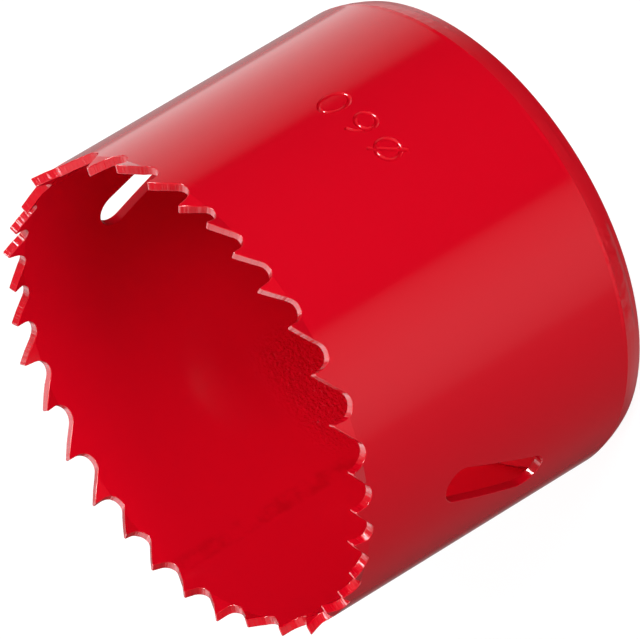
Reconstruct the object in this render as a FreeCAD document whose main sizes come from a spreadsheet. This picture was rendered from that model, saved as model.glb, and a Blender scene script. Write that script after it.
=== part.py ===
import FreeCAD, Part
import math
import os
import Sketcher

V = FreeCAD.Vector

# Hole saw cup, standing on its end plate with the teeth up.
# Origin: centre of the back face of the plate. +Z: along the axis, towards the teeth.
# A toothed strip is rolled into a ring, butt-welded, and welded onto a thick turned plate.

doc = FreeCAD.newDocument("hole_saw")
sheet = doc.addObject("Spreadsheet::Sheet", "Sizes")

SIZES = [
    ("cutting_diameter", 60.0, "over the teeth that are set outwards"),
    ("tooth_set", 0.52, "sideways set of a tooth, at its tip"),
    ("wall_thickness", 1.1, "thickness of the rolled strip"),
    ("saw_height", 43.6, "back face to tooth tips"),
    ("plate_thickness", 4.5, "end plate at its middle"),
    ("flange_height", 2.65, "plate rim below the strip: the welded shoulder"),
    ("shoulder_drop", 0.84, "how far the shoulder rounds in at the back face"),
    ("shoulder_radius", 12.0, "curve of the shoulder"),
    ("spigot_clearance", 0.05, "between the spigot of the plate and the strip, on the radius"),
    ("spigot_chamfer", 0.4, "edge of the spigot"),
    ("thread_bore", 14.55, "hole for the arbor thread, at the thread crests"),
    ("thread_chamfer", 0.75, "lead-in at both ends of the thread"),
    ("pin_circle", 25.4, "circle of the drive-pin holes"),
    ("pin_hole", 6.9, "diameter of a drive-pin hole"),
    ("window_width", 4.65, "slanted window in the wall"),
    ("window_length", 16.65, "end to end"),
    ("window_middle", 22.45, "height of the middle of a window"),
    ("window_slant", 26.0, "degrees from the axis"),
    ("window_azimuth", -154.1, "degrees, middle of the first window"),
    ("window_spacing", 182.2, "degrees, from the first window to the second"),
    ("first_tooth", 127.2, "degrees, the tip just past the butt weld"),
    ("pitch_one", 5.40, "tip to tip round the outside, a group of nine that repeats"),
    ("pitch_two", 5.88, ""),
    ("pitch_three", 6.43, ""),
    ("pitch_four", 5.92, ""),
    ("pitch_five", 5.47, ""),
    ("pitch_six", 4.98, ""),
    ("pitch_seven", 4.60, ""),
    ("pitch_eight", 4.65, ""),
    ("pitch_nine", 5.19, ""),
    ("tip_land", 0.22, "flat on a tooth tip"),
    ("gullet_depth", 0.455, "below the tip, in pitches"),
    ("gullet_radius", 0.28, "round bottom of a gullet, in pitches"),
    ("gullet_centre", 0.28, "deepest point past the tip, in pitches"),
    ("weld_gullets", 4, "shallow gullets beside the butt weld"),
    ("weld_gullet_depth", 0.365, "the same three sizes for those"),
    ("weld_gullet_radius", 0.25, ""),
    ("weld_gullet_centre", 0.30, ""),
    ("knee_along", 0.73, "where the tooth back changes slope, in pitches"),
    ("knee_below", 0.17, "the same point below the tip, in pitches"),
    ("bend_margin", 0.12, "the set starts this far above the shallowest gullet"),
]
row = 1
for name, value, note in SIZES:
    sheet.set("A%d" % row, name)
    sheet.set("B%d" % row, str(value))
    sheet.set("C%d" % row, note)
    sheet.setAlias("B%d" % row, name)
    row += 1
doc.recompute()


def size(name):
    return float(sheet.get(name))


# Lengths that several pieces share, each with the expression that keeps it tied to the sheet.
wall_outer = size("cutting_diameter") / 2 - size("tooth_set")
wall_inner = wall_outer - size("wall_thickness")
top = size("saw_height")
OUTER = "Sizes.cutting_diameter / 2 - Sizes.tooth_set"
INNER = OUTER + " - Sizes.wall_thickness"
SPIGOT = INNER + " - Sizes.spigot_clearance"

# Tooth tips round the ring: the group of pitches repeats from the butt weld on,
# and the gap across the weld is what is left over.
group = [size("pitch_" + word) for word in
         ("one", "two", "three", "four", "five", "six", "seven", "eight", "nine")]
around = 2 * math.pi * wall_outer
pitches = []
while around - sum(pitches) - group[len(pitches) % len(group)] >= min(group):
    pitches.append(group[len(pitches) % len(group)])
pitches.append(around - sum(pitches))
tips = [math.radians(size("first_tooth")) + sum(pitches[:k]) / wall_outer for k in range(len(pitches))]



def gullet_sizes(k):
    """Depth, radius of the round bottom and its place past the tip, for the gullet after tip k."""
    kind = "gullet_"
    if (k + 1) % len(pitches) < size("weld_gullets"):
        kind = "weld_gullet_"
    return [size(kind + word) * pitches[k] for word in ("depth", "radius", "centre")]


# The teeth bend sideways above this level, which clears the shallowest gullet.
bend_depth = min(gullet_sizes(k)[0] for k in range(len(pitches))) - size("bend_margin")
bend_level = top - bend_depth


def origin_plane(body, role):
    for feature in body.Origin.OriginFeatures:
        if feature.Role == role:
            return feature
    raise RuntimeError("no origin feature " + role)


def sketch_on(body, name, role, offset=None):
    sketch = body.newObject("Sketcher::SketchObject", name)
    sketch.AttachmentSupport = [(origin_plane(body, role), "")]
    sketch.MapMode = "FlatFace"
    if offset is not None:
        sketch.AttachmentOffset = offset
    doc.recompute()
    return sketch


def hold(sketch, curve, end, x, y):
    """Ties one end of a curve: x and y are (value, expression), with None for a point on the axis."""
    for kind, pair, axis in (("DistanceX", x, -2), ("DistanceY", y, -1)):
        if pair[1] is None:
            sketch.addConstraint(Sketcher.Constraint("PointOnObject", curve, end, axis))
        else:
            made = sketch.addConstraint(Sketcher.Constraint(kind, -1, 1, curve, end, pair[0]))
            sketch.setExpression("Constraints[%d]" % made, pair[1])


def profile(sketch, points, arcs):
    """Closed outline through points; arcs gives (centre, radius pair) for the side after a point."""
    count = len(points)
    for k in range(count):
        a = V(points[k][0][0], points[k][1][0], 0)
        b = V(points[(k + 1) % count][0][0], points[(k + 1) % count][1][0], 0)
        if k in arcs:
            centre = arcs[k][0]
            start = math.atan2(a.y - centre.y, a.x - centre.x)
            stop = math.atan2(b.y - centre.y, b.x - centre.x)
            circle = Part.Circle(centre, V(0, 0, 1), arcs[k][1][0])
            sketch.addGeometry(Part.ArcOfCircle(circle, start, stop), False)
        else:
            sketch.addGeometry(Part.LineSegment(a, b), False)
    for k in range(count):
        sketch.addConstraint(Sketcher.Constraint("Coincident", k, 2, (k + 1) % count, 1))
        hold(sketch, k, 1, points[k][0], points[k][1])
        if k in arcs:
            made = sketch.addConstraint(Sketcher.Constraint("Radius", k, arcs[k][1][0]))
            sketch.setExpression("Constraints[%d]" % made, arcs[k][1][1])


def turned(body, name, points, arcs):
    sketch = sketch_on(body, name + "_section", "XZ_Plane")
    profile(sketch, points, arcs)
    spin = body.newObject("PartDesign::Revolution", name)
    spin.Profile = sketch
    spin.ReferenceAxis = (sketch, ["V_Axis"])
    spin.Angle = 360
    doc.recompute()
    return spin


def repeat(body, name, cut, copies, turned_by=360, expression=None):
    pattern = body.newObject("PartDesign::PolarPattern", name)
    pattern.Originals = [cut]
    pattern.Axis = (origin_plane(body, "Z_Axis"), [""])
    pattern.Angle = turned_by
    if expression is not None:
        pattern.setExpression("Angle", expression)
    pattern.Occurrences = copies
    body.Tip = pattern
    doc.recompute()
    return pattern


# End plate: a turned disc with a rounded rim, a spigot that the strip sits on,
# a threaded hole for the arbor and two drive-pin holes.
plate = doc.addObject("PartDesign::Body", "EndPlate")
plate.Label = "end_plate"
half_bore = size("thread_bore") / 2
lead = size("thread_chamfer")
thick = size("plate_thickness")
rim = size("flange_height")
back = wall_outer - size("shoulder_drop")
spigot = wall_inner - size("spigot_clearance")
edge = size("spigot_chamfer")
chord = V(wall_outer - back, rim, 0)
reach = math.sqrt(size("shoulder_radius") ** 2 - (chord.Length / 2) ** 2)
across = V(-chord.y, chord.x, 0).normalize()
shoulder_centre = V((wall_outer + back) / 2, rim / 2, 0) + across * reach
BORE = "Sizes.thread_bore / 2"
turned(plate, "PlateBlank", [
    ((half_bore + lead, BORE + " + Sizes.thread_chamfer"), (0, None)),
    ((back, OUTER + " - Sizes.shoulder_drop"), (0, None)),
    ((wall_outer, OUTER), (rim, "Sizes.flange_height")),
    ((spigot, SPIGOT), (rim, "Sizes.flange_height")),
    ((spigot, SPIGOT), (thick - edge, "Sizes.plate_thickness - Sizes.spigot_chamfer")),
    ((spigot - edge, SPIGOT + " - Sizes.spigot_chamfer"), (thick, "Sizes.plate_thickness")),
    ((half_bore + lead, BORE + " + Sizes.thread_chamfer"), (thick, "Sizes.plate_thickness")),
    ((half_bore, BORE), (thick - lead, "Sizes.plate_thickness - Sizes.thread_chamfer")),
    ((half_bore, BORE), (lead, "Sizes.thread_chamfer")),
], {1: (shoulder_centre, (size("shoulder_radius"), "Sizes.shoulder_radius"))})
pin_sketch = sketch_on(plate, "pin_outline", "XY_Plane")
pin_sketch.addGeometry(Part.Circle(V(size("pin_circle") / 2, 0, 0), V(0, 0, 1), size("pin_hole") / 2), False)
made = pin_sketch.addConstraint(Sketcher.Constraint("Radius", 0, size("pin_hole") / 2))
pin_sketch.setExpression("Constraints[%d]" % made, "Sizes.pin_hole / 2")
hold(pin_sketch, 0, 3, (size("pin_circle") / 2, "Sizes.pin_circle / 2"), (0, None))
before = plate.Shape.Volume
pin = plate.newObject("PartDesign::Pocket", "PinHole")
pin.Profile = pin_sketch
pin.Type = "ThroughAll"
pin.Reversed = True
doc.recompute()
if plate.Shape.Volume > before - 1:
    raise RuntimeError("the pin hole cuts nothing")
repeat(plate, "PinHoles", pin, 2)

# Rolled strip below the teeth: a tube with two slanted windows, about half a turn apart.
tube = doc.addObject("PartDesign::Body", "StripTube")
tube.Label = "strip_tube"
BEND = "Sizes.saw_height - %r" % bend_depth
turned(tube, "Strip", [
    ((wall_inner, INNER), (rim, "Sizes.flange_height")),
    ((wall_outer, OUTER), (rim, "Sizes.flange_height")),
    ((wall_outer, OUTER), (bend_level, BEND)),
    ((wall_inner, INNER), (bend_level, BEND)),
], {})
turn = FreeCAD.Rotation(V(0, 1, 0), size("window_azimuth") + 90)
lean = FreeCAD.Rotation(V(0, 0, 1), -size("window_slant"))
window_place = FreeCAD.Placement(V(0, size("window_middle"), 0), turn.multiply(lean))
window = sketch_on(tube, "window_outline", "XZ_Plane", window_place)
window.setExpression("AttachmentOffset.Base.y", "Sizes.window_middle")
half_width = size("window_width") / 2
half_run = (size("window_length") - size("window_width")) / 2
up = V(0, half_run, 0)
window.addGeometry(Part.ArcOfCircle(Part.Circle(up, V(0, 0, 1), half_width), 0, math.pi), False)
window.addGeometry(Part.LineSegment(up + V(-half_width, 0, 0), V(-half_width, -half_run, 0)), False)
window.addGeometry(Part.ArcOfCircle(Part.Circle(-up, V(0, 0, 1), half_width), math.pi, 2 * math.pi), False)
window.addGeometry(Part.LineSegment(V(half_width, -half_run, 0), up + V(half_width, 0, 0)), False)
for k in range(4):
    window.addConstraint(Sketcher.Constraint("Tangent", k, 2, (k + 1) % 4, 1))
hold(window, 0, 3, (0, None), (half_run, "(Sizes.window_length - Sizes.window_width) / 2"))
window.addConstraint(Sketcher.Constraint("Symmetric", 0, 3, 2, 3, -1, 1))
window.addConstraint(Sketcher.Constraint("Equal", 0, 2))
made = window.addConstraint(Sketcher.Constraint("Radius", 0, half_width))
window.setExpression("Constraints[%d]" % made, "Sizes.window_width / 2")
before = tube.Shape.Volume
hole = tube.newObject("PartDesign::Pocket", "Window")
hole.Profile = window
hole.Type = "Length"
hole.Length = wall_outer + 1
hole.setExpression("Length", OUTER + " + 1")
hole.Reversed = True
doc.recompute()
if tube.Shape.Volume > before - 1:
    raise RuntimeError("the window cuts nothing")
repeat(tube, "Windows", hole, 2, size("window_spacing"), "Sizes.window_spacing")


# One gullet, drawn flat beside its tip: x runs along the ring, y up from the tips.
# From the tip: steep face, round bottom, lower back, knee, upper back, next tip.
def gullet_wire(k, radius):
    squeeze = radius / wall_outer
    pitch = pitches[k]
    tip_angle = tips[k]
    depth, r, centre = gullet_sizes(k)
    bottom = V(centre, r - depth, 0)
    knee = V(size("knee_along") * pitch, -size("knee_below") * pitch, 0)

    def touch(point, side):
        """Where the line from a point meets the round bottom without a corner."""
        away = bottom - point
        turn_by = side * math.acos(r / away.Length)
        back_to = math.atan2(-away.y, -away.x) + turn_by
        return bottom + V(math.cos(back_to), math.sin(back_to), 0) * r

    first = touch(V(0, 0, 0), 1)
    second = touch(knee, -1)
    over = bend_depth
    land = size("tip_land")
    flat = [V(0, over, 0), V(0, 0, 0), first, bottom - V(0, r, 0), second, knee,
            V(pitch - land, 0, 0), V(pitch - land, over, 0)]
    middle = pitch / 2
    out = V(math.cos(tip_angle + middle / wall_outer), math.sin(tip_angle + middle / wall_outer), 0)
    along = V(-out.y, out.x, 0)
    placed = [out * radius + along * ((p.x - middle) * squeeze) + V(0, 0, top + p.y) for p in flat]
    sides = [Part.LineSegment(placed[0], placed[1]), Part.LineSegment(placed[1], placed[2]),
             Part.Arc(placed[2], placed[3], placed[4]), Part.LineSegment(placed[4], placed[5]),
             Part.LineSegment(placed[5], placed[6]), Part.LineSegment(placed[6], placed[7]),
             Part.LineSegment(placed[7], placed[0])]
    return Part.Wire([side.toShape() for side in sides])


beyond = size("tooth_set") + size("wall_thickness")
gullets = []
for k in range(len(pitches)):
    near = gullet_wire(k, wall_inner - beyond)
    far = gullet_wire(k, wall_outer + beyond)
    gullets.append(Part.makeLoft([near, far], True, True))

# Tooth blanks: the strip above the bend, leaning straight, outwards and inwards in turn.
teeth = []
for k in range(len(pitches)):
    start = tips[k] - (pitches[k - 1] - gullet_sizes(k - 1)[2]) / wall_outer
    stop = tips[k] + gullet_sizes(k)[2] / wall_outer
    shift = (0, size("tooth_set"), -size("tooth_set"))[k % 3]
    corners = [V(wall_inner, 0, bend_level), V(wall_outer, 0, bend_level),
               V(wall_outer + shift, 0, top), V(wall_inner + shift, 0, top)]
    section = Part.Face(Part.makePolygon(corners + corners[:1]))
    section.rotate(V(0, 0, 0), V(0, 0, 1), math.degrees(start))
    blank = section.revolve(V(0, 0, 0), V(0, 0, 1), math.degrees(stop - start))
    teeth.append(blank.cut([gullets[k - 1], gullets[k]]))

gullet_set = doc.addObject("Part::Feature", "Gullets")
gullet_set.Label = "gullets"
gullet_set.Shape = Part.makeCompound(gullets)
tooth_set = doc.addObject("Part::Feature", "SetTeeth")
tooth_set.Label = "set_teeth"
tooth_set.Shape = Part.makeCompound(teeth)

notched = doc.addObject("Part::Cut", "NotchedTube")
notched.Label = "notched_tube"
notched.Base = tube
notched.Tool = gullet_set
wall = doc.addObject("Part::MultiFuse", "ToothedWall")
wall.Label = "toothed_wall"
wall.Shapes = [notched, tooth_set]
wall.Refine = True
doc.recompute()

for item in doc.Objects:
    if "Invalid" in item.State or "Error" in item.State:
        raise RuntimeError("failed: " + item.Name)
parts = [wall, plate]
for item in parts:
    shape = item.Shape
    if shape.isNull() or not shape.isValid():
        raise RuntimeError("bad shape: " + item.Label)
    print(item.Label, "solids", len(shape.Solids), "faces", len(shape.Faces), "volume %.1f" % shape.Volume)
print("teeth", len(tips), "gap across the weld %.2f" % pitches[-1], "bend level %.2f" % bend_level)

os.makedirs("parts", exist_ok=True)
for item in parts:
    item.Shape.exportStep("parts/" + item.Label + ".step")
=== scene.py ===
import bmesh
import bpy
import math
from mathutils import Matrix, Vector


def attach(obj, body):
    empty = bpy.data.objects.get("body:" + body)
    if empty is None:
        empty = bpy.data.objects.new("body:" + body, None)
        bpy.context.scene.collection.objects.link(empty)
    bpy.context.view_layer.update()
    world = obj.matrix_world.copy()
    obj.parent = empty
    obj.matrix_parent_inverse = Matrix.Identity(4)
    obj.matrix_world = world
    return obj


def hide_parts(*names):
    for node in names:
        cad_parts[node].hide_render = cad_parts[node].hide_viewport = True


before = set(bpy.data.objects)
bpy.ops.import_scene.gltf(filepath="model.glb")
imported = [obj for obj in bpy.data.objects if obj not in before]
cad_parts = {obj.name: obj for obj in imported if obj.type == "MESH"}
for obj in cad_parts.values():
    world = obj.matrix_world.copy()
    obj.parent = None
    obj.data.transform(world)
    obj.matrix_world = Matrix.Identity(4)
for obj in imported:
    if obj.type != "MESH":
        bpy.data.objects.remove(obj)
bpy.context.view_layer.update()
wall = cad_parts["toothed_wall"]
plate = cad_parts["end_plate"]

MM = 0.001
WALL_OUTER = 29.48 * MM
CREST = 7.275 * MM
PLATE_TOP = 4.5 * MM
TEETH_FROM = 40.0 * MM
EDGE_ROUND = 0.10 * MM
EDGE_ANGLE = 42.0

# Places on the wall: degrees round it from +X, and metres up from the back face
ROUGH_PATCH, ROUGH_PATCH_HEIGHT = (88.0, 112.0), (0.005, 0.014)
SEAM_RIDGE, SEAM_STAIN = (119.6, 121.4), (118.8, 121.8)
WELD_HEIGHT, WELD_THICKEST = (0.0012, 0.0027), (-132.0, -112.0)
WALL_MIDDLE = (0.0286, 0.0289)
METRES_PER_DEGREE = 0.000515

# Heights of the relief, in metres
FINE_PEEL, ROUGH_PEEL = 0.0000012, 0.000280
SEAM_RELIEF, WELD_RELIEF, TOOL_MARKS = 0.00003, 0.00022, 0.000110


# Material helpers
def new_material(name):
    material = bpy.data.materials.new(name)
    material.use_nodes = True
    material.node_tree.nodes.clear()
    return material, material.node_tree


def add(tree, kind, **values):
    node = tree.nodes.new(kind)
    for key, value in values.items():
        setattr(node, key, value)
    return node


def math_node(tree, operation, a, b=None):
    """One sum on two values, each a number or a socket."""
    node = add(tree, "ShaderNodeMath", operation=operation)
    for socket, value in zip(node.inputs, (a, b)):
        if value is None:
            continue
        if isinstance(value, (int, float)):
            socket.default_value = value
        else:
            tree.links.new(value, socket)
    return node.outputs[0]


def ramp(tree, value, low, high, out_low=0.0, out_high=1.0):
    """Eases from out_low to out_high while value goes from low to high."""
    node = add(tree, "ShaderNodeMapRange", interpolation_type="SMOOTHSTEP")
    tree.links.new(value, node.inputs["Value"])
    node.inputs["From Min"].default_value = low
    node.inputs["From Max"].default_value = high
    node.inputs["To Min"].default_value = out_low
    node.inputs["To Max"].default_value = out_high
    return node.outputs["Result"]


def band(tree, value, low, high, soft):
    """One between low and high, fading to nothing over soft on both sides."""
    rise = ramp(tree, value, low - soft, low)
    fall = ramp(tree, value, high, high + soft, 1.0, 0.0)
    return math_node(tree, "MULTIPLY", rise, fall)


def noise(tree, place, scale, detail=2.0):
    node = add(tree, "ShaderNodeTexNoise")
    tree.links.new(place, node.inputs["Vector"])
    node.inputs["Scale"].default_value = scale
    node.inputs["Detail"].default_value = detail
    return node.outputs["Fac"]


# Paint surface: how the sprayed coat lies on the steel. Heights are in metres.
coat = bpy.data.node_groups.new("sprayed_coat", "ShaderNodeTree")
for label, value in (("Wall", 1.0), ("Grain", 0.0)):
    socket = coat.interface.new_socket(label, in_out="INPUT", socket_type="NodeSocketFloat")
    socket.default_value = value
coat.interface.new_socket("Height", in_out="OUTPUT", socket_type="NodeSocketFloat")
coat.interface.new_socket("Stain", in_out="OUTPUT", socket_type="NodeSocketFloat")
given = add(coat, "NodeGroupInput")
result = add(coat, "NodeGroupOutput")
place = add(coat, "ShaderNodeTexCoord").outputs["Object"]
apart = add(coat, "ShaderNodeSeparateXYZ")
coat.links.new(place, apart.inputs[0])
x, y, z = apart.outputs
angle = math_node(coat, "DEGREES", math_node(coat, "ARCTAN2", y, x))
reach = math_node(coat, "SQRT", math_node(coat, "ADD", math_node(coat, "MULTIPLY", x, x),
                                          math_node(coat, "MULTIPLY", y, y)))
# fine peel all over, coarser and stronger in a patch low down inside
fine = math_node(coat, "MULTIPLY", noise(coat, place, 1400.0), FINE_PEEL)
inside = ramp(coat, reach, *WALL_MIDDLE, 1.0, 0.0)
patch = math_node(coat, "MULTIPLY", band(coat, angle, *ROUGH_PATCH, 8.0),
                  band(coat, z, *ROUGH_PATCH_HEIGHT, 0.004))
strong = math_node(coat, "MULTIPLY", math_node(coat, "MULTIPLY", patch, inside),
                   math_node(coat, "MULTIPLY", noise(coat, place, 2600.0, 1.0), ROUGH_PEEL))
peel = math_node(coat, "ADD", fine, math_node(coat, "MULTIPLY", strong, given.outputs["Wall"]))
# butt weld: a low ridge from end to end, uneven
seam = band(coat, angle, *SEAM_RIDGE, 1.2)
seam_rough = math_node(coat, "MULTIPLY", seam, math_node(coat, "ADD", noise(coat, place, 500.0, 3.0), 0.2))
seam_rough = math_node(coat, "MULTIPLY", seam_rough, given.outputs["Wall"])
# ring weld round the foot of the wall
foot = band(coat, z, *WELD_HEIGHT, 0.0005)
patchy = ramp(coat, noise(coat, place, 60.0), 0.45, 0.62, 0.0, 0.4)
patchy = math_node(coat, "MAXIMUM", patchy, band(coat, angle, *WELD_THICKEST, 5.0))
foot_rough = math_node(coat, "MULTIPLY", math_node(coat, "MULTIPLY", foot, patchy),
                       noise(coat, place, 700.0, 1.0))
weld = math_node(coat, "ADD", math_node(coat, "MULTIPLY", seam_rough, SEAM_RELIEF),
                 math_node(coat, "MULTIPLY", foot_rough, WELD_RELIEF))
# tool marks across the cut faces of the teeth: the same from the inside to the outside of the wall
along = add(coat, "ShaderNodeCombineXYZ")
coat.links.new(math_node(coat, "MULTIPLY", angle, METRES_PER_DEGREE), along.inputs[0])
coat.links.new(z, along.inputs[1])
grain = math_node(coat, "MULTIPLY", noise(coat, along.outputs[0], 3200.0), TOOL_MARKS)
grain = math_node(coat, "MULTIPLY", grain, given.outputs["Grain"])
height = math_node(coat, "ADD", math_node(coat, "ADD", peel, weld), grain)
coat.links.new(height, result.inputs["Height"])
specks = ramp(coat, noise(coat, place, 480.0, 3.0), 0.38, 0.72)
marks = math_node(coat, "MULTIPLY", band(coat, angle, *SEAM_STAIN, 1.8), specks)
marks = math_node(coat, "MULTIPLY", marks, math_node(coat, "MULTIPLY", inside, given.outputs["Wall"]))
coat.links.new(marks, result.inputs["Stain"])


# Red gloss paint
def paint(name, on_wall_part, grain, roughness, shine=0.5):
    material, tree = new_material(name)
    out = add(tree, "ShaderNodeOutputMaterial")
    shader = add(tree, "ShaderNodeBsdfPrincipled")
    tree.links.new(shader.outputs["BSDF"], out.inputs["Surface"])
    shader.inputs["Roughness"].default_value = roughness
    shader.inputs["IOR"].default_value = 1.5
    shader.inputs["Specular IOR Level"].default_value = shine
    surface = add(tree, "ShaderNodeGroup", node_tree=coat)
    surface.inputs["Wall"].default_value = on_wall_part
    surface.inputs["Grain"].default_value = grain
    colour = add(tree, "ShaderNodeMix", data_type="RGBA")
    colour.inputs[6].default_value = (0.64, 0.0015, 0.0118, 1.0)
    colour.inputs[7].default_value = (0.53, 0.0012, 0.0085, 1.0)
    tree.links.new(surface.outputs["Stain"], colour.inputs[0])
    tree.links.new(colour.outputs[2], shader.inputs["Base Color"])
    bump = add(tree, "ShaderNodeBump")
    bump.inputs["Strength"].default_value = 1.0
    bump.inputs["Distance"].default_value = 1.0
    tree.links.new(surface.outputs["Height"], bump.inputs["Height"])
    tree.links.new(bump.outputs[0], shader.inputs["Normal"])
    return material


# Bare steel of the cut thread
def steel(name):
    material, tree = new_material(name)
    out = add(tree, "ShaderNodeOutputMaterial")
    shader = add(tree, "ShaderNodeBsdfPrincipled")
    tree.links.new(shader.outputs["BSDF"], out.inputs["Surface"])
    shader.inputs["Metallic"].default_value = 1.0
    shader.inputs["Base Color"].default_value = (0.20, 0.19, 0.185, 1.0)
    where = add(tree, "ShaderNodeTexCoord").outputs["Object"]
    grain = noise(tree, where, 1800.0, 3.0)
    tree.links.new(ramp(tree, grain, 0.3, 0.7, 0.40, 0.58), shader.inputs["Roughness"])
    return material


wall_paint = paint("wall_paint", 1.0, 0.0, 0.11)
tooth_paint = paint("tooth_paint", 1.0, 1.0, 0.11)
plate_paint = paint("plate_paint", 0.0, 0.0, 0.30)
# thin, dull coat on the plate at the bottom of the cup
inside_paint = paint("plate_inside_paint", 0.0, 0.0, 0.60, shine=0.12)
thread_steel = steel("thread_steel")

# Material places on both pieces; the fourth is the teeth on the wall, the top on the plate
MAIN, ROUNDED, CUT = 0, 1, 2
TOOTH = INSIDE = 3


# Mesh helpers
def joined_copy(node):
    """The solid's loose triangles joined again, with flat areas as single faces."""
    bm = bmesh.new()
    bm.from_mesh(node.data)
    bmesh.ops.remove_doubles(bm, verts=bm.verts, dist=0.000001)
    bmesh.ops.dissolve_limit(bm, angle_limit=math.radians(0.4), verts=bm.verts, edges=bm.edges)
    for face in bm.faces:
        face.material_index = MAIN
    return bm


def round_edges(bm, width, sharper_than, wanted=lambda edge: True):
    """Rounds every edge that turns more than the angle given, as paint does."""
    limit = math.radians(sharper_than)
    edges = [e for e in bm.edges if e.is_manifold and e.calc_face_angle(0.0) > limit and wanted(e)]
    made = bmesh.ops.bevel(bm, geom=edges, offset=width, offset_type="OFFSET", segments=2, profile=0.5,
                           affect="EDGES", clamp_overlap=False, material=-1)
    for face in made["faces"]:
        face.material_index = ROUNDED


def object_from(bm, name):
    mesh = bpy.data.meshes.new(name)
    bm.to_mesh(mesh)
    bm.free()
    if "custom_normal" in mesh.attributes:
        mesh.attributes.remove(mesh.attributes["custom_normal"])
    made = bpy.data.objects.new(name, mesh)
    bpy.context.scene.collection.objects.link(made)
    return made


def cut_away(piece, tools):
    """Takes the tool pieces out of a piece and throws them away."""
    for tool in tools:
        for _ in range(CUT + 1 - len(tool.data.materials)):
            tool.data.materials.append(None)
        for face in tool.data.polygons:
            face.material_index = CUT
        modifier = piece.modifiers.new(tool.name, "BOOLEAN")
        modifier.operation = "DIFFERENCE"
        modifier.solver = "EXACT"
        modifier.material_mode = "INDEX"
        modifier.object = tool
    bpy.context.view_layer.update()
    cut = bpy.data.meshes.new_from_object(piece.evaluated_get(bpy.context.evaluated_depsgraph_get()))
    piece.modifiers.clear()
    piece.data = cut
    for tool in tools:
        bpy.data.objects.remove(tool)


def set_normals(piece):
    """Round faces shade round, flat ones flat, and the rounded edges blend between their neighbours."""
    bm = bmesh.new()
    bm.from_mesh(piece.data)
    bm.normal_update()

    def turned_normal(face, vert):
        centre = face.calc_center_median()
        out = Vector((centre.x, centre.y, 0.0))
        if out.length < 0.02:
            return None
        out.normalize()
        if abs(face.normal.dot(out)) < 0.93:
            return None
        side = 1.0 if face.normal.dot(out) > 0 else -1.0
        at = Vector((vert.co.x, vert.co.y, 0.0)).normalized()
        tilt = face.normal.z
        return (at * side * math.sqrt(max(0.0, 1.0 - tilt * tilt)) + Vector((0, 0, tilt))).normalized()

    def corner(face, vert):
        if face.material_index == MAIN:
            exact = turned_normal(face, vert)
            if exact is not None:
                return exact
        limit = math.cos(math.radians(32.0 if face.material_index == MAIN else 50.0))
        total = Vector((0, 0, 0))
        for other in vert.link_faces:
            if other.material_index == face.material_index and other.normal.dot(face.normal) > limit:
                total += other.normal * other.calc_area()
        return total.normalized() if total.length > 0 else face.normal.copy()

    normals = []
    for face in bm.faces:
        for vert in face.verts:
            if face.material_index == ROUNDED:
                total = Vector((0, 0, 0))
                for other in vert.link_faces:
                    if other.material_index == MAIN:
                        total += corner(other, vert)
                if total.length < 0.5:
                    total = Vector((0, 0, 0))
                    for other in vert.link_faces:
                        total += other.normal
                normals.append(total.normalized())
            else:
                normals.append(corner(face, vert))
    bm.free()
    mesh = piece.data
    mesh.polygons.foreach_set("use_smooth", [True] * len(mesh.polygons))
    mesh.normals_split_custom_set(normals)


# Size mark: round grooves in the wall, upright with the teeth up
STROKE_RADIUS = 0.30 * MM
STROKE_REACH = WALL_OUTER + 0.04 * MM
SIGN_AT, SIX_AT, NOUGHT_AT = -70.0, -61.2, -52.6
MARK_HEIGHT = 19.6


def stroke(name, points, closed):
    """A round tool along a path on the wall: points are (degrees, height in mm)."""
    curve = bpy.data.curves.new(name, "CURVE")
    curve.dimensions = "3D"
    curve.bevel_depth = STROKE_RADIUS
    curve.bevel_resolution = 3
    curve.use_fill_caps = not closed
    line = curve.splines.new("POLY")
    line.points.add(len(points) - 1)
    line.use_cyclic_u = closed
    for point, (degrees, height) in zip(line.points, points):
        a = math.radians(degrees)
        point.co = (STROKE_REACH * math.cos(a), STROKE_REACH * math.sin(a), height * MM, 1.0)
    drawn = bpy.data.objects.new(name, curve)
    bpy.context.scene.collection.objects.link(drawn)
    bpy.context.view_layer.update()
    mesh = bpy.data.meshes.new_from_object(drawn.evaluated_get(bpy.context.evaluated_depsgraph_get()))
    bpy.data.objects.remove(drawn)
    made = bpy.data.objects.new(name, mesh)
    bpy.context.scene.collection.objects.link(made)
    return made


def on_wall(across, up, middle, base):
    """Millimetres from the middle of a sign, as degrees and height on the wall."""
    return middle + math.degrees(across * MM / WALL_OUTER), base + up


def oval(half_width, half_height, low, middle, base, count=28):
    points = []
    for k in range(count):
        a = math.radians(360.0 * k / count)
        points.append(on_wall(half_width * math.cos(a), low + half_height * math.sin(a), middle, base))
    return points


strokes = [
    stroke("sign_ring", oval(1.45, 1.45, 0.0, SIGN_AT, MARK_HEIGHT), True),
    stroke("sign_bar", [on_wall(t * 1.35, t * 1.95, SIGN_AT, MARK_HEIGHT)
                        for t in (-1.0, -0.5, 0.0, 0.5, 1.0)], False),
    stroke("six_bowl", oval(1.25, 1.2, -0.75, SIX_AT, MARK_HEIGHT), True),
    stroke("six_stem", [on_wall(1.05 - 2.3 * math.cos(t), -0.75 + 2.65 * math.sin(t), SIX_AT, MARK_HEIGHT)
                        for t in [math.radians(a) for a in range(0, 84, 6)]], False),
    stroke("nought", oval(1.35, 1.95, 0.0, NOUGHT_AT, MARK_HEIGHT), True),
]

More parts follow.
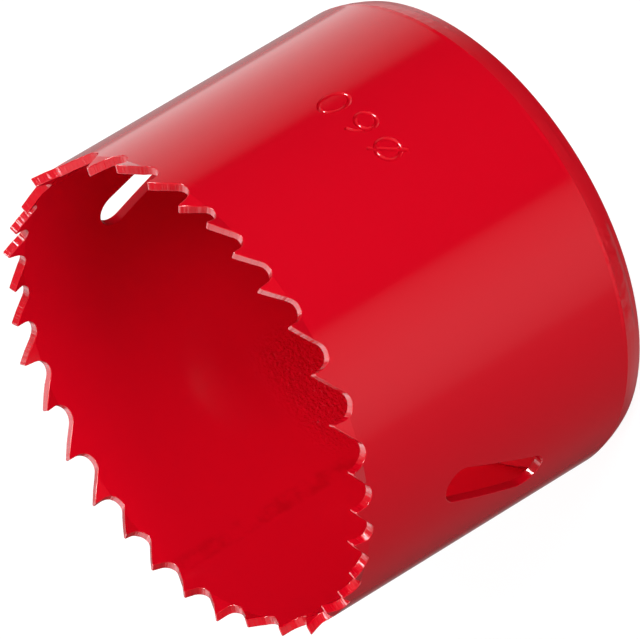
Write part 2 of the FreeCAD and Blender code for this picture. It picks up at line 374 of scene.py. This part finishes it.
# Painted wall: the solid's own form with rounded edges and the size mark
bm = joined_copy(wall)
round_edges(bm, EDGE_ROUND, EDGE_ANGLE, lambda e: min(v.co.z for v in e.verts) > 0.0032)
painted_wall = object_from(bm, "painted_wall")
for material in (wall_paint, wall_paint, wall_paint, tooth_paint):
    painted_wall.data.materials.append(material)
cut_away(painted_wall, strokes)
set_normals(painted_wall)
for face in painted_wall.data.polygons:
    outward = Vector((face.center.x, face.center.y, 0.0)).normalized()
    if face.material_index == MAIN and face.center.z > TEETH_FROM and abs(face.normal.dot(outward)) < 0.5:
        face.material_index = TOOTH
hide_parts("toothed_wall")
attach(painted_wall, "root")


# Painted plate: the same, with the arbor thread cut into its bore
def thread_tool():
    pitch = 1.411 * MM
    per_turn = 40
    turns = 5
    section = [(7.15, -0.60), (7.94, -0.145), (7.94, 0.145), (7.15, 0.60)]
    bm = bmesh.new()
    verts = [bm.verts.new((r * MM, 0.0, -1.1 * MM + h * MM)) for r, h in section]
    first = bm.faces.new(verts)
    made = bmesh.ops.spin(bm, geom=list(first.edges) + verts, cent=(0, 0, 0), axis=(0, 0, 1),
                          dvec=(0, 0, pitch / per_turn), angle=2 * math.pi * turns, steps=per_turn * turns,
                          use_merge=False, use_duplicate=False)
    last = [e for e in made["geom_last"] if isinstance(e, bmesh.types.BMEdge)]
    bmesh.ops.contextual_create(bm, geom=last)
    bmesh.ops.remove_doubles(bm, verts=bm.verts, dist=0.0000001)
    bmesh.ops.recalc_face_normals(bm, faces=bm.faces)
    return object_from(bm, "thread_tool")


bm = joined_copy(plate)
round_edges(bm, EDGE_ROUND, EDGE_ANGLE, lambda e: min(Vector(v.co.xy).length for v in e.verts) > 0.0085
            and max(v.co.z for v in e.verts) < 0.0026)
painted_plate = object_from(bm, "painted_plate")
for material in (plate_paint, plate_paint, thread_steel, inside_paint):
    painted_plate.data.materials.append(material)
cut_away(painted_plate, [thread_tool()])
for face in painted_plate.data.polygons:
    reach = max(Vector(painted_plate.data.vertices[i].co.xy).length for i in face.vertices)
    if reach < CREST + 0.02 * MM:
        face.material_index = CUT
set_normals(painted_plate)
for face in painted_plate.data.polygons:
    if face.material_index == MAIN and face.normal.z > 0.9 and face.center.z > PLATE_TOP - 0.1 * MM:
        face.material_index = INSIDE
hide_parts("end_plate")
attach(painted_plate, "root")

# Floor
floor_mesh = bpy.data.meshes.new("floor")
span = 3.0
floor_mesh.from_pydata([(-span, -span, 0), (span, -span, 0), (span, span, 0), (-span, span, 0)], [],
                       [(0, 1, 2, 3)])
floor = bpy.data.objects.new("floor", floor_mesh)
bpy.context.scene.collection.objects.link(floor)
floor_material, tree = new_material("floor_white")
out = add(tree, "ShaderNodeOutputMaterial")
path = add(tree, "ShaderNodeLightPath")
diffuse = add(tree, "ShaderNodeBsdfDiffuse")
diffuse.inputs["Color"].default_value = (0.35, 0.35, 0.35, 1)
card = add(tree, "ShaderNodeBsdfDiffuse")
card.inputs["Color"].default_value = (0.22, 0.22, 0.22, 1)
glow = add(tree, "ShaderNodeEmission")
glow.inputs["Strength"].default_value = 0.9
both = add(tree, "ShaderNodeAddShader")
tree.links.new(card.outputs[0], both.inputs[0])
tree.links.new(glow.outputs[0], both.inputs[1])
mix = add(tree, "ShaderNodeMixShader")
tree.links.new(path.outputs["Is Camera Ray"], mix.inputs[0])
tree.links.new(diffuse.outputs[0], mix.inputs[1])
tree.links.new(both.outputs[0], mix.inputs[2])
tree.links.new(mix.outputs[0], out.inputs["Surface"])
floor_mesh.materials.append(floor_material)
floor.location.z = -0.00002
floor.visible_glossy = False

# Dark disc under the plate: the holes don't mirror the bright room in the wall inside
disc_mesh = bpy.data.meshes.new("under_disc")
bm = bmesh.new()
bmesh.ops.create_circle(bm, cap_ends=True, segments=48, radius=0.024)
bm.to_mesh(disc_mesh)
bm.free()
disc = bpy.data.objects.new("under_disc", disc_mesh)
bpy.context.scene.collection.objects.link(disc)
disc.location.z = -0.00001
dark, tree = new_material("under_disc_dark")
out = add(tree, "ShaderNodeOutputMaterial")
matt = add(tree, "ShaderNodeBsdfDiffuse")
matt.inputs["Color"].default_value = (0.05, 0.01, 0.01, 1)
tree.links.new(matt.outputs[0], out.inputs["Surface"])
disc_mesh.materials.append(dark)
disc.visible_camera = False
disc.visible_shadow = False
disc.visible_diffuse = False

# Studio round the object: white to the camera, soft light for matt surfaces,
# and for gloss two soft boxes with dark between them
world = bpy.data.worlds.new("studio")
bpy.context.scene.world = world
world.use_nodes = True
tree = world.node_tree
tree.nodes.clear()
out = add(tree, "ShaderNodeOutputWorld")
path = add(tree, "ShaderNodeLightPath")
where = add(tree, "ShaderNodeTexCoord")
parts = add(tree, "ShaderNodeSeparateXYZ")
tree.links.new(where.outputs["Generated"], parts.inputs[0])
turn = math_node(tree, "DEGREES", math_node(tree, "ARCTAN2", parts.outputs["Y"], parts.outputs["X"]))
# degrees counted from the dark direction at -60, so that no box crosses the join
turn = math_node(tree, "FLOORED_MODULO", math_node(tree, "ADD", turn, 60.0), 360.0)
BOXES = [
    (-60, 0.0), (-24, 0.0), (-9.5, 0.0), (-6, 0.33), (10, 0.99), (26, 1.35), (42, 1.55), (55, 1.60),
    (57, 0.62), (74, 0.50), (90, 0.40), (106, 0.08), (130, 0.14), (162, 0.15), (194, 0.17), (206, 0.24),
    (211, 0.50), (222, 0.74), (236, 0.80), (250, 0.62), (256, 0.48), (260, 0.28), (262, 0.0), (299, 0.0),
]
boxes = add(tree, "ShaderNodeValToRGB")
tree.links.new(math_node(tree, "DIVIDE", turn, 360.0), boxes.inputs[0])
stops = boxes.color_ramp.elements
while len(stops) < len(BOXES):
    stops.new(0.5)
for stop, (degrees, strength) in zip(stops, BOXES):
    stop.position = (degrees + 60.0) / 360.0
    stop.color = (strength / 2.0, strength / 2.0, strength / 2.0, 1.0)
low = math_node(tree, "MULTIPLY", boxes.outputs[0], 2.0)
# the boxes stop short of straight down
low = math_node(tree, "MULTIPLY", low, ramp(tree, parts.outputs["Z"], -0.88, -0.66))
# the bright table behind the saw, which only the shoulder mirrors
table = math_node(tree, "MULTIPLY", band(tree, turn, 160.0, 240.0, 14.0),
                  ramp(tree, parts.outputs["Z"], -0.62, -0.70, 0.0, 0.5))
low = math_node(tree, "ADD", low, table)
above = ramp(tree, parts.outputs["Z"], 0.0, 0.12)
behind = math_node(tree, "MULTIPLY", ramp(tree, parts.outputs["Y"], 0.30, 0.60),
                   ramp(tree, parts.outputs["Z"], 0.0, 0.25))
# and a weaker one overhead, to the left
overhead = math_node(tree, "MULTIPLY", ramp(tree, parts.outputs["X"], -0.02, -0.12),
                     ramp(tree, parts.outputs["Z"], 0.75, 0.85, 0.0, 0.45))
behind = math_node(tree, "MAXIMUM", behind, overhead)
high = ramp(tree, behind, 0.0, 1.0, 0.3, 3.3)
gloss = add(tree, "ShaderNodeMix", data_type="FLOAT")
tree.links.new(above, gloss.inputs[0])
tree.links.new(low, gloss.inputs[2])
tree.links.new(high, gloss.inputs[3])
level = add(tree, "ShaderNodeMix", data_type="FLOAT")
tree.links.new(path.outputs["Is Glossy Ray"], level.inputs[0])
level.inputs[2].default_value = 0.47
tree.links.new(gloss.outputs[0], level.inputs[3])
seen = add(tree, "ShaderNodeMix", data_type="FLOAT")
tree.links.new(path.outputs["Is Camera Ray"], seen.inputs[0])
tree.links.new(level.outputs[0], seen.inputs[2])
seen.inputs[3].default_value = 1.0
sky = add(tree, "ShaderNodeBackground")
tree.links.new(seen.outputs[0], sky.inputs["Strength"])
tree.links.new(sky.outputs[0], out.inputs["Surface"])


# Lamps, placed in degrees round the saw and up from the floor, in metres and watts
def lamp(name, azimuth, elevation, distance, width, power, depth=None, only_gloss=False):
    light = bpy.data.lights.new(name, "AREA")
    light.shape = "ELLIPSE"
    light.size = width
    light.size_y = depth or width
    light.energy = power
    held = bpy.data.objects.new(name, light)
    a, e = math.radians(azimuth), math.radians(elevation)
    toward = Vector((math.cos(a) * math.cos(e), math.sin(a) * math.cos(e), math.sin(e)))
    held.location = toward * distance + Vector((0, 0, 0.02))
    held.rotation_euler = toward.to_track_quat("Z", "Y").to_euler()
    held.visible_camera = False
    held.visible_glossy = only_gloss
    held.visible_diffuse = not only_gloss
    bpy.context.scene.collection.objects.link(held)
    return held


lamp("key", -58.0, 41.0, 1.2, 0.9, 12.6)
lamp("side", -134.0, 6.0, 1.2, 0.3, 4.6)
lamp("back", 98.0, 8.0, 1.2, 0.5, 6.0)
# small bright lamps that only the gloss shows, as glints on edges and strokes
lamp("front_glint", -34.0, 36.0, 1.2, 0.50, 24.0, only_gloss=True)
lamp("top_glint", 80.0, 78.0, 1.2, 0.14, 5.5, depth=0.40, only_gloss=True)

# Camera: long lens, as in the photograph, with the saw's axis leaning to the lower left
lens = bpy.data.cameras.new("camera")
camera = bpy.data.objects.new("camera", lens)
bpy.context.scene.collection.objects.link(camera)
bpy.context.scene.camera = camera
lens.sensor_fit = "HORIZONTAL"
lens.sensor_width = 36.0
lens.lens = 690.88
lens.clip_start, lens.clip_end = 0.05, 20.0
across = Vector((-0.54438428, -0.39476904, -0.74013726))
upward = Vector((0.83656247, -0.32041888, -0.44440406))
backward = Vector((-0.06171699, -0.86109764, 0.50467997))
turned = Matrix((across, upward, backward)).transposed()
camera.rotation_mode = "QUATERNION"
camera.rotation_quaternion = turned.to_quaternion()
camera.location = (-0.08545992, -1.18863744, 0.71925035)

scene = bpy.context.scene
scene.view_settings.view_transform = "Standard"
